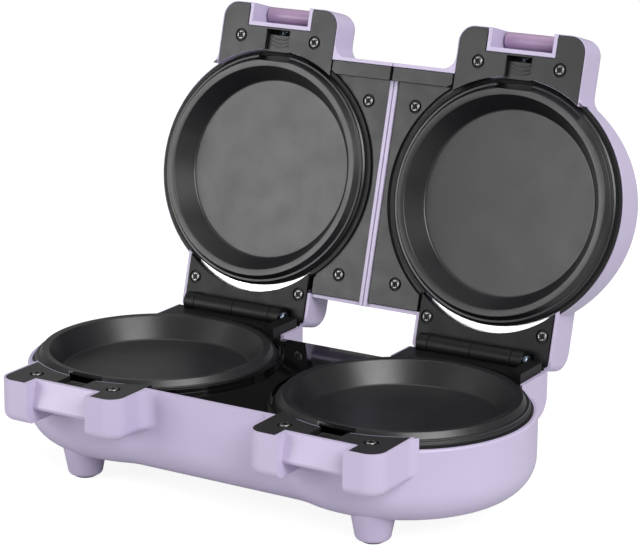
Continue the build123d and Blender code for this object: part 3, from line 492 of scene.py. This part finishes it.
# ---------------------------------------------------------------- mesh tools
def rounded_outline(points: list[Point], radii: list[float], steps: int = 4) -> list[Point]:
    """Rounds the corners of an open outline.

    Args:
        points: The outline's corners.
        radii: One radius for each corner, 0 for a sharp one.
        steps: How many pieces each arc has.

    Returns:
        The outline with its arcs.
    """
    result: list[Point] = []
    last = len(points) - 1
    for index, (corner, radius) in enumerate(zip(points, radii)):
        if radius <= 0 or index in (0, last):
            result.append(corner)
            continue
        here = Vector(corner)
        to_previous = Vector(points[index - 1]) - here
        to_next = Vector(points[index + 1]) - here
        half = to_previous.angle(to_next) / 2
        longest = min(to_previous.length, to_next.length) * ROUND_SHARE
        reach = min(radius / math.tan(half), longest)
        start = here + to_previous.normalized() * reach
        end = here + to_next.normalized() * reach
        for step in range(steps + 1):
            share = step / steps
            point = start.lerp(here, share).lerp(here.lerp(end, share), share)
            result.append((point.x, point.y))
    return result


def merged(whole: bmesh.types.BMesh, piece: bmesh.types.BMesh) -> None:
    """Adds one mesh to another.

    Args:
        whole: What it is added to.
        piece: What is added, which is freed.
    """
    data = bpy.data.meshes.new("merging")
    piece.to_mesh(data)
    piece.free()
    whole.from_mesh(data)
    bpy.data.meshes.remove(data)


def turned(name: str, outline: list[Point], steps: int) -> bmesh.types.BMesh:
    """Spins an outline of (radius, height) about Z into a closed skin.

    Args:
        name: What it is, for the log.
        outline: From the axis, round the section, back to the axis.
        steps: How many steps the spin has.

    Returns:
        The mesh.
    """
    mesh = bmesh.new()
    rim = [mesh.verts.new((radius, 0, height)) for radius, height in outline]
    edges = [mesh.edges.new(pair) for pair in zip(rim, rim[1:])]
    bmesh.ops.spin(mesh, geom=rim + edges, cent=(0, 0, 0), axis=(0, 0, 1), angle=math.tau,
                   steps=steps, use_merge=True)
    bmesh.ops.remove_doubles(mesh, verts=mesh.verts, dist=WELD)
    bmesh.ops.recalc_face_normals(mesh, faces=mesh.faces)
    log.debug("%s: %d faces", name, len(mesh.faces))
    return mesh


def block(low: tuple[float, float, float], high: tuple[float, float, float]) -> bmesh.types.BMesh:
    """A box between two corners.

    Args:
        low: The lowest corner.
        high: The highest corner.

    Returns:
        The mesh.
    """
    mesh = bmesh.new()
    bmesh.ops.create_cube(mesh, size=1)
    size = [b - a for a, b in zip(low, high)]
    middle = [(a + b) / 2 for a, b in zip(low, high)]
    bmesh.ops.scale(mesh, verts=mesh.verts, vec=size)
    bmesh.ops.translate(mesh, verts=mesh.verts, vec=middle)
    return mesh


def as_object(name: str, mesh: bmesh.types.BMesh, place: Matrix, smooth: float = 35) -> bpy.types.Object:
    """Turns a mesh into an object at the origin, with its place in the mesh.

    Args:
        name: The object's name.
        mesh: The mesh, which is freed.
        place: From the mesh's own sizes to the model.
        smooth: Edges under this angle are shaded smooth, in degrees.

    Returns:
        The object.
    """
    data = bpy.data.meshes.new(name)
    mesh.to_mesh(data)
    mesh.free()
    data.transform(place)
    if place.determinant() < 0:
        data.flip_normals()
    data.shade_smooth()
    data.set_sharp_from_angle(angle=math.radians(smooth))
    piece = bpy.data.objects.new(name, data)
    bpy.context.scene.collection.objects.link(piece)
    return piece


def carved(piece: bmesh.types.BMesh, cutter: bmesh.types.BMesh) -> bmesh.types.BMesh:
    """Takes one closed mesh out of another.

    Args:
        piece: What is cut, which is freed.
        cutter: What is taken out, which is freed.

    Returns:
        What is left.
    """
    body = as_object("carving", piece, Matrix.Identity(4))
    tool = as_object("carving_tool", cutter, Matrix.Identity(4))
    modifier = body.modifiers.new("cut", "BOOLEAN")
    modifier.object, modifier.solver, modifier.operation = tool, "EXACT", "DIFFERENCE"
    bpy.context.view_layer.update()
    result = bmesh.new()
    result.from_object(body, bpy.context.evaluated_depsgraph_get())
    for spare in (body, tool):
        data = spare.data
        bpy.data.objects.remove(spare)
        bpy.data.meshes.remove(data)
    return result


# ---------------------------------------------------------------- cooking plates
@dataclass
class CookingPlate:
    """One removable pan: floor, sloped wall, rim, skirt and the release's notch."""

    side: int
    side_name: str
    level: Level
    radius: float = 70.0
    rim_drop: float = 0.15
    opening: float = 62.4
    opening_depth: float = 0.4
    floor_radius: float = 55.0
    depth: float = 13.4
    thickness: float = 2.2
    crease: float = 1.6
    lip_round: float = 0.8
    shelf_end: float = 66.4
    shelf_round: float = 0.5
    brim: float = 68.5
    brim_drop: float = 3.4
    step_round: float = 0.4
    edge_round: float = 0.3
    skirt: float = 6.8
    skirt_bead: float = 1.0
    skirt_bead_height: float = 2.2
    skirt_bead_slope: float = 0.8
    skirt_thickness: float = 2.0
    under_share: float = 0.8
    under_rounds: tuple[float, float, float] = (0.6, 1.2, 2.5)
    wall_leans: Point = (0.6, 1.0)
    notch: tuple[float, float] = (-13.5, 9.3)
    notch_depth: float = 4.6
    notch_margins: Point = (6.0, 2.0)
    steps: int = 160

    def outline(self) -> list[Point]:
        """The pan's section, from the middle of its floor round to its underside.

        Returns:
            Points of radius and height.
        """
        top = -self.rim_drop
        floor = top - self.depth
        skirt = top - self.skirt
        bead = skirt + self.skirt_bead_height
        lip = top - self.opening_depth
        outer, edge = self.radius, self.edge_round
        inner, widest = outer - self.skirt_thickness, outer + self.skirt_bead
        inside_round, lip_under_round, floor_under_round = self.under_rounds
        lip_lean, floor_lean = self.wall_leans
        corners = [
            (0, floor, 0),
            (self.floor_radius, floor, self.crease),
            (self.opening, lip, self.lip_round),
            (self.shelf_end, top, self.shelf_round),
            (self.brim, top - self.brim_drop, self.step_round),
            (outer, top - self.brim_drop, edge),
            (outer, bead, self.step_round),
            (widest, bead - self.skirt_bead_slope, edge),
            (widest, skirt, edge),
            (inner, skirt, edge),
            (inner, lip - self.thickness * self.under_share, inside_round),
            (self.opening + lip_lean, lip - self.thickness, lip_under_round),
            (self.floor_radius + floor_lean, floor - self.thickness, floor_under_round),
            (0, floor - self.thickness, 0),
        ]
        points = [(radius, height) for radius, height, _ in corners]
        return rounded_outline(points, [rounding for _, _, rounding in corners])

    def build(self) -> bpy.types.Object:
        """Makes the pan, in its place and finish.

        Returns:
            The pan.
        """
        pan = turned("pan", self.outline(), self.steps)
        low, high = self.notch
        reach = self.radius - self.notch_depth
        top = -self.rim_drop
        beyond, above = self.notch_margins
        gap = block((low, -self.radius - beyond, top - self.skirt - above), (high, -reach, top + above))
        pan = carved(pan, gap)
        name = f"{self.side_name}_{self.level.value}_plate"
        piece = as_object(f"{name}_pan", pan, LAYOUT.seat(self.side, self.level))
        PAINT.dress(piece, Finish.PAN)
        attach(piece, name)
        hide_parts(name)
        return piece


@dataclass
class Gasket:
    """The thin black ring that the pan's skirt stands on."""

    side: int
    side_name: str
    level: Level
    inner: float = 69.6
    outer: float = 71.75
    top: float = 6.95
    bottom: float = 8.1
    steps: int = 128

    def build(self) -> bpy.types.Object:
        """Makes the ring, in its place and finish.

        Returns:
            The ring.
        """
        section = [(self.inner, -self.bottom), (self.inner, -self.top), (self.outer, -self.top),
                   (self.outer, -self.bottom), (self.inner, -self.bottom)]
        body = f"{self.side_name}_{self.level.value}_plate"
        piece = as_object(f"{body}_gasket", turned("gasket", section, self.steps),
                          LAYOUT.seat(self.side, self.level))
        PAINT.dress(piece, Finish.RUBBER)
        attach(piece, body)
        return piece


@dataclass(frozen=True)
class Band:
    """The section and the reach of a sheet round a well, in mm and degrees."""

    name: str
    radii: Point
    depths: Point
    start: float
    sweep: float
    steps: int


NOTCH_SHADE = Band("notch_shade", radii=(62.5, 72.4), depths=(8.3, 9.2), start=-118, sweep=58, steps=24)
WELL_TRIM = Band("well_trim", radii=(71.95, 74.3), depths=(6.9, 7.45), start=126, sweep=288, steps=120)


@dataclass
class Sector:
    """A thin black sheet round a part of a well."""

    side: int
    side_name: str
    level: Level
    band: Band

    def build(self) -> bpy.types.Object:
        """Makes the sheet, in its place and finish.

        Returns:
            The sheet.
        """
        mesh = bmesh.new()
        turn = Matrix.Rotation(math.radians(self.band.start), 3, "Z")
        inner, outer = self.band.radii
        top, bottom = self.band.depths
        corners = ((inner, -bottom), (inner, -top), (outer, -top), (outer, -bottom))
        ring = [mesh.verts.new(turn @ Vector((radius, 0, height))) for radius, height in corners]
        face = mesh.faces.new(ring)
        bmesh.ops.spin(mesh, geom=[face], cent=(0, 0, 0), axis=(0, 0, 1),
                       angle=math.radians(self.band.sweep), steps=self.band.steps)
        bmesh.ops.remove_doubles(mesh, verts=mesh.verts, dist=WELD)
        bmesh.ops.recalc_face_normals(mesh, faces=mesh.faces)
        home = "base" if self.level is Level.LOWER else f"{self.side_name}_lid"
        piece = as_object(f"{self.side_name}_{self.level.value}_{self.band.name}", mesh,
                          LAYOUT.seat(self.side, self.level))
        PAINT.dress(piece, Finish.HINGE)
        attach(piece, home)
        return piece


def well_trims(side: int, name: str, level: Level) -> list[Sector]:
    """The black sheets of one well, which cover bright or coloured inner edges.

    Args:
        side: -1 for left and 1 for right.
        name: The side's name.
        level: The base's well or the lid's.

    Returns:
        The sheet under the pan's notch, and in a lid the ring beside the pan too.
    """
    bands = [NOTCH_SHADE, WELL_TRIM] if level is Level.UPPER else [NOTCH_SHADE]
    return [Sector(side, name, level, band) for band in bands]


@dataclass
class PaintedScrewShade:
    """Painted shade on a set of screws: a dark cross in each head's recess and a dark ring round each head.
    """

    node: str
    home: str
    seat: Matrix
    arm: float = 2.3
    half_width: float = 0.6
    turn: float = 40.0
    lift: float = 0.01
    bite: float = 0.5
    ring: Point = (3.0, 4.0)
    ring_drop: float = 1.4
    ring_thickness: float = 0.1
    ring_steps: int = 24
    weld: float = 1e-3

    def screws(self) -> list[list[Vector]]:
        """The points of each screw in the set, in the well's own frame and in mm.

        Returns:
            One list of points for each screw.
        """
        mesh = bmesh.new()
        mesh.from_mesh(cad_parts[self.node].data)
        mesh.transform(self.seat.inverted())
        bmesh.ops.remove_doubles(mesh, verts=mesh.verts, dist=self.weld)
        seen: set[bmesh.types.BMVert] = set()
        found = []
        for first in mesh.verts:
            if first in seen:
                continue
            seen.add(first)
            queue, points = [first], []
            while queue:
                vert = queue.pop()
                points.append(vert.co.copy())
                for edge in vert.link_edges:
                    other = edge.other_vert(vert)
                    if other not in seen:
                        seen.add(other)
                        queue.append(other)
            found.append(points)
        mesh.free()
        return found

    def heads(self) -> list[Vector]:
        """The middle of the top of each head that faces the other half.

        Returns:
            The points, in the well's own frame and in mm.
        """
        found = []
        for points in self.screws():
            top = max(point.z for point in points)
            foot = min(point.z for point in points)
            upper = [point for point in points if point.z > (top + foot) / 2]
            middle = sum(upper, Vector()) / len(upper)
            # a screw that is driven the other way has its thin shank at this end
            if max((point - middle).xy.length for point in upper) > self.arm:
                found.append(Vector((middle.x, middle.y, top)))
        return sorted(found, key=lambda point: (round(point.x, 2), round(point.y, 2)))

    def cross(self, head: Vector) -> bmesh.types.BMesh:
        """Makes the dark cross of painted shade in one head's recess.

        Args:
            head: The middle of the head's top.

        Returns:
            The mesh.
        """
        whole = bmesh.new()
        # two dark bars that stand in for the shade in the head's cross recess
        for size in ((self.arm, self.half_width), (self.half_width, self.arm)):
            merged(whole, block((*(-side for side in size), -self.bite), (*size, self.lift)))
        whole.transform(Matrix.Translation(head) @ Matrix.Rotation(math.radians(self.turn), 4, "Z"))
        return whole

    def shade(self, head: Vector) -> bmesh.types.BMesh:
        """Makes the dark ring of painted shade round one head.

        Args:
            head: The middle of the head's top.

        Returns:
            The mesh.
        """
        inner, outer = self.ring
        top = head.z - self.ring_drop
        bottom = top - self.ring_thickness
        # a dark flat ring that stands in for the shade in the sink round the head
        section = [(inner, bottom), (inner, top), (outer, top), (outer, bottom), (inner, bottom)]
        ring = turned("ring", section, self.ring_steps)
        ring.transform(Matrix.Translation((head.x, head.y, 0)))
        return ring

    def build(self) -> bpy.types.Object:
        """Makes the painted shade of the whole set, crosses and rings, in their places and finish.

        Returns:
            The dark crosses and rings of painted shade.
        """
        marks = bmesh.new()
        for head in self.heads():
            merged(marks, self.cross(head))
            merged(marks, self.shade(head))
        # the object holds painted shade: dark crosses and rings in the near-black hinge plastic
        piece = as_object(f"{self.node}_marks", marks, self.seat)
        PAINT.dress(piece, Finish.HINGE)
        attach(piece, self.home)
        log.info("marked %s", self.node)
        return piece


# ---------------------------------------------------------------- solids that keep their shape
@dataclass
class Solids:
    """The solids that are shown as they are, each in its finish."""

    endings: dict[str, Finish] = field(default_factory=lambda: {
        "lid_shell": Finish.LILAC,
        "base_shell": Finish.TUB,
        "base_rim": Finish.TUB,
        "latch_block": Finish.TUB,
        "hinge_housing": Finish.TUB,
        "feet": Finish.TUB,
        "base_deck": Finish.DECK,
        "latch_cover": Finish.BLACK,
        "lid_frame": Finish.BLACK,
        "_release": Finish.BLACK,
        "hinge_base": Finish.HINGE,
        "hinge_bracket": Finish.HINGE,
        "_latch": Finish.MAUVE,
        "_plate": Finish.PAN,
        "reflector": Finish.ALUMINIUM,
        "heater": Finish.SHEATH,
        "_pin": Finish.ZINC,
        "spring": Finish.ZINC,
        "screws": Finish.SCREW,
        "cord_bush": Finish.RUBBER,
        "thermostat": Finish.CERAMIC,
        "terminal_block": Finish.CERAMIC,
        "base_wiring": Finish.SLEEVE,
        "power_light": Finish.RED,
        "ready_light": Finish.GREEN,
    })

    def finish_of(self, node: str) -> Finish:
        """The finish that a solid's name asks for.

        Args:
            node: The solid's name.

        Returns:
            The finish.
        """
        if node.startswith("foot_pad"):
            return Finish.RUBBER
        return next(finish for ending, finish in self.endings.items() if node.endswith(ending))

    def dress(self) -> None:
        """Gives every solid its finish."""
        for node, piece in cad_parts.items():
            PAINT.dress(piece, self.finish_of(node))
            piece.data.shade_smooth()
            log.info("dressed %s", node)


# ---------------------------------------------------------------- room, light and view
@dataclass(frozen=True)
class Lamp:
    """One soft square lamp, aimed at the maker. Lengths are in metres and the power in watts."""

    name: str
    place: tuple[float, float, float]
    size: float
    power: float
    aim: tuple[float, float, float] = (0, 0, 0.1)

    def build(self) -> None:
        """Hangs the lamp."""
        data = bpy.data.lights.new(self.name, "AREA")
        data.shape, data.size, data.energy = "SQUARE", self.size, self.power
        lamp = bpy.data.objects.new(self.name, data)
        lamp.location = self.place
        lamp.rotation_euler = (Vector(self.aim) - lamp.location).to_track_quat("-Z", "Y").to_euler()
        bpy.context.scene.collection.objects.link(lamp)


LAMPS = (
    Lamp("key_lamp", (1.05, -0.6, 0.95), size=0.9, power=20.0),
    Lamp("top_lamp", (0.0, 0.2, 1.8), size=1.6, power=10.0),
    Lamp("sheen_lamp", (-0.84, -1.0, 0.36), size=0.7, power=7.4),
)


@dataclass
class Studio:
    """A pale floor and backdrop under soft lamps."""

    floor_size: float = 12.0
    floor_greys: Point = (0.6, 0.63)
    floor_scale: float = 1.5
    floor_roughness: float = 0.85
    floor_specular: float = 0.1
    room_level: float = 0.3
    camera_albedo: float = 0.28
    camera_glow: float = 0.89

    def floor(self) -> None:
        """Lays the floor, which shows white where nothing shades it."""
        mesh = bmesh.new()
        bmesh.ops.create_grid(mesh, x_segments=1, y_segments=1, size=self.floor_size / 2)
        piece = as_object("studio_floor", mesh, Matrix.Identity(4))
        tree = Tree("pale_floor")
        seen = tree.add("LightPath")
        dark, pale = ((grey, grey, grey) for grey in self.floor_greys)
        tree.set(Base_Color=tree.shade(tree.noise(self.floor_scale), dark, pale),
                 Roughness=self.floor_roughness, Specular_IOR_Level=self.floor_specular)
        albedo = self.camera_albedo
        shaded = tree.add("BsdfDiffuse", in_Color=(albedo, albedo, albedo, 1))
        glow = tree.add("Emission", in_Color=(1, 1, 1, 1), in_Strength=self.camera_glow)
        add = tree.add("AddShader")
        mix = tree.add("MixShader", in_Fac=seen.outputs["Is Camera Ray"])
        output = tree.nodes["Material Output"]
        tree.links.new(shaded.outputs[0], add.inputs[0])
        tree.links.new(glow.outputs[0], add.inputs[1])
        tree.links.new(tree.shader.outputs[0], mix.inputs[1])
        tree.links.new(add.outputs[0], mix.inputs[2])
        tree.links.new(mix.outputs[0], output.inputs["Surface"])
        piece.data.materials.append(tree.material)

    def room(self) -> None:
        """Fills the room with even light, and shows white behind the maker."""
        world = bpy.data.worlds.new("studio_room")
        world.use_nodes = True
        bpy.context.scene.world = world
        nodes, links = world.node_tree.nodes, world.node_tree.links
        nodes.clear()
        path = nodes.new("ShaderNodeLightPath")
        seen = nodes.new("ShaderNodeMath")
        seen.operation = "MAXIMUM"
        links.new(path.outputs["Is Camera Ray"], seen.inputs[0])
        links.new(path.outputs["Is Transmission Ray"], seen.inputs[1])
        lighting, backdrop = nodes.new("ShaderNodeBackground"), nodes.new("ShaderNodeBackground")
        for light, strength in ((lighting, self.room_level), (backdrop, 1.0)):
            light.inputs["Color"].default_value = (1, 1, 1, 1)
            light.inputs["Strength"].default_value = strength
        mix = nodes.new("ShaderNodeMixShader")
        links.new(seen.outputs[0], mix.inputs[0])
        links.new(lighting.outputs[0], mix.inputs[1])
        links.new(backdrop.outputs[0], mix.inputs[2])
        output = nodes.new("ShaderNodeOutputWorld")
        links.new(mix.outputs[0], output.inputs["Surface"])

    def build(self) -> None:
        """Makes the floor, the room and the lamps."""
        self.floor()
        self.room()
        for lamp in LAMPS:
            lamp.build()
        log.info("studio built")


@dataclass
class View:
    """The camera, placed about a point of the closed layout. Angles are in degrees, lengths in mm."""

    azimuth: float = 31.118
    elevation: float = 15.413
    roll: float = 0.406
    distance: float = 1490.2
    target: tuple[float, float, float] = (-46.748, 125.335, 20.096)
    lens: float = 135.75
    film: float = 36.0
    clip: Point = (0.05, 50.0)

    def build(self) -> None:
        """Makes the camera and looks through it."""
        azimuth, elevation = math.radians(self.azimuth), math.radians(self.elevation)
        back = Vector((math.sin(azimuth) * math.cos(elevation), -math.cos(azimuth) * math.cos(elevation),
                       math.sin(elevation)))
        level = Vector((math.cos(azimuth), math.sin(azimuth), 0))
        turn = Matrix.Rotation(math.radians(self.roll), 3, back)
        right = turn @ level
        rise = turn @ back.cross(level)
        place = LAYOUT.base() @ (Vector(self.target) + back * self.distance)
        axes = Matrix((right, rise, back)).transposed().to_4x4()
        data = bpy.data.cameras.new("view")
        data.sensor_fit, data.sensor_width, data.lens = "HORIZONTAL", self.film, self.lens
        data.clip_start, data.clip_end = self.clip
        camera = bpy.data.objects.new("view", data)
        camera.matrix_world = Matrix.Translation(place) @ axes
        bpy.context.scene.collection.objects.link(camera)
        bpy.context.scene.camera = camera
        log.info("camera at %s", tuple(round(v, 3) for v in place))


def corners(box: tuple[Vector, Vector]) -> list[list[float]]:
    """A box's two corners as plain lists.

    Args:
        box: The lowest and the highest corner.

    Returns:
        The same corners as lists.
    """
    return [list(corner) for corner in box]


def main() -> None:
    """Builds the maker's finishes and fine shapes, then the room and the view."""
    logging.basicConfig(level=logging.INFO)
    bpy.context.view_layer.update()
    bpy.context.scene.view_settings.view_transform = "Standard"
    Solids().dress()
    for name, side in SIDES.items():
        for level in Level:
            for maker in (CookingPlate(side, name, level), Gasket(side, name, level),
                          *well_trims(side, name, level)):
                log.info("built %s", maker.build().name)
    # painted shade on the screws: dark crosses in the heads and dark rings round them
    PaintedScrewShade("base_screws", "base", LAYOUT.seat(SIDES["right"], Level.LOWER)).build()
    for name, side in SIDES.items():
        PaintedScrewShade(f"{name}_lid_screws", f"{name}_lid", LAYOUT.seat(side, Level.UPPER)).build()
    Studio().build()
    View().build()


if __name__ == "__main__":
    main()
